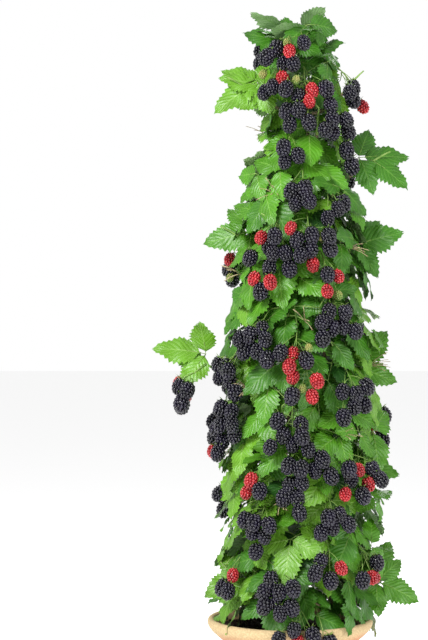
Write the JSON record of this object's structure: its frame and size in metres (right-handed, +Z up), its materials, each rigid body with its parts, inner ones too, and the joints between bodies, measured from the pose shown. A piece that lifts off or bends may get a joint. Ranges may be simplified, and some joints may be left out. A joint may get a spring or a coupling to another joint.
{
  "type": "potted bramble",
  "caption": "Tall columnar fruiting bramble in a round rimmed pot: several upright canes with side shoots, dense leaves and hanging fruit.",
  "frame": {"origin": "middle of the pot's flat underside", "axes": "+Z up the plant; -Y is the front, the side the picture shows; +X is to the right seen from the front"},
  "size_m": [0.6153, 0.4838, 1.7072],
  "materials": {
    "terracotta": "matte",
    "soil": "matte",
    "bark": "matte",
    "foliage": "satin"
  },
  "bodies": {
    "root": {"bough_back_1": "bark", "bough_back_2": "bark", "bough_back_3": "bark", "bough_back_4": "bark", "bough_back_5": "bark", "bough_foot_back": "bark", "bough_foot_front": "bark", "bough_foot_left": "bark", "bough_foot_right": "bark", "bough_front_1": "bark", "bough_front_2": "bark", "bough_front_3": "bark", "bough_front_4": "bark", "bough_front_5": "bark", "bough_long_back": "bark", "bough_long_left": "bark", "bough_long_right": "bark", "bough_low_left": "bark", "bough_low_right": "bark", "bough_middle_left": "bark", "bough_middle_right": "bark", "bough_shoulder_right": "bark", "bough_upper_left": "bark", "bough_upper_right": "bark", "cane_back": "bark", "cane_left": "bark", "cane_main": "bark", "cane_right": "bark", "mass_back_1": "foliage", "mass_back_2": "foliage", "mass_back_3": "foliage", "mass_back_4": "foliage", "mass_back_5": "foliage", "mass_foot_back": "foliage", "mass_foot_front": "foliage", "mass_foot_left": "foliage", "mass_foot_right": "foliage", "mass_front_1": "foliage", "mass_front_2": "foliage", "mass_front_3": "foliage", "mass_front_4": "foliage", "mass_front_5": "foliage", "mass_long_back": "foliage", "mass_long_left": "foliage", "mass_long_right": "foliage", "mass_low_left": "foliage", "mass_low_right": "foliage", "mass_middle_left": "foliage", "mass_middle_right": "foliage", "mass_shoulder_right": "foliage", "mass_top": "foliage", "mass_upper_left": "foliage", "mass_upper_right": "foliage", "pot": "terracotta", "soil": "soil"}
  },
  "joints": []
}
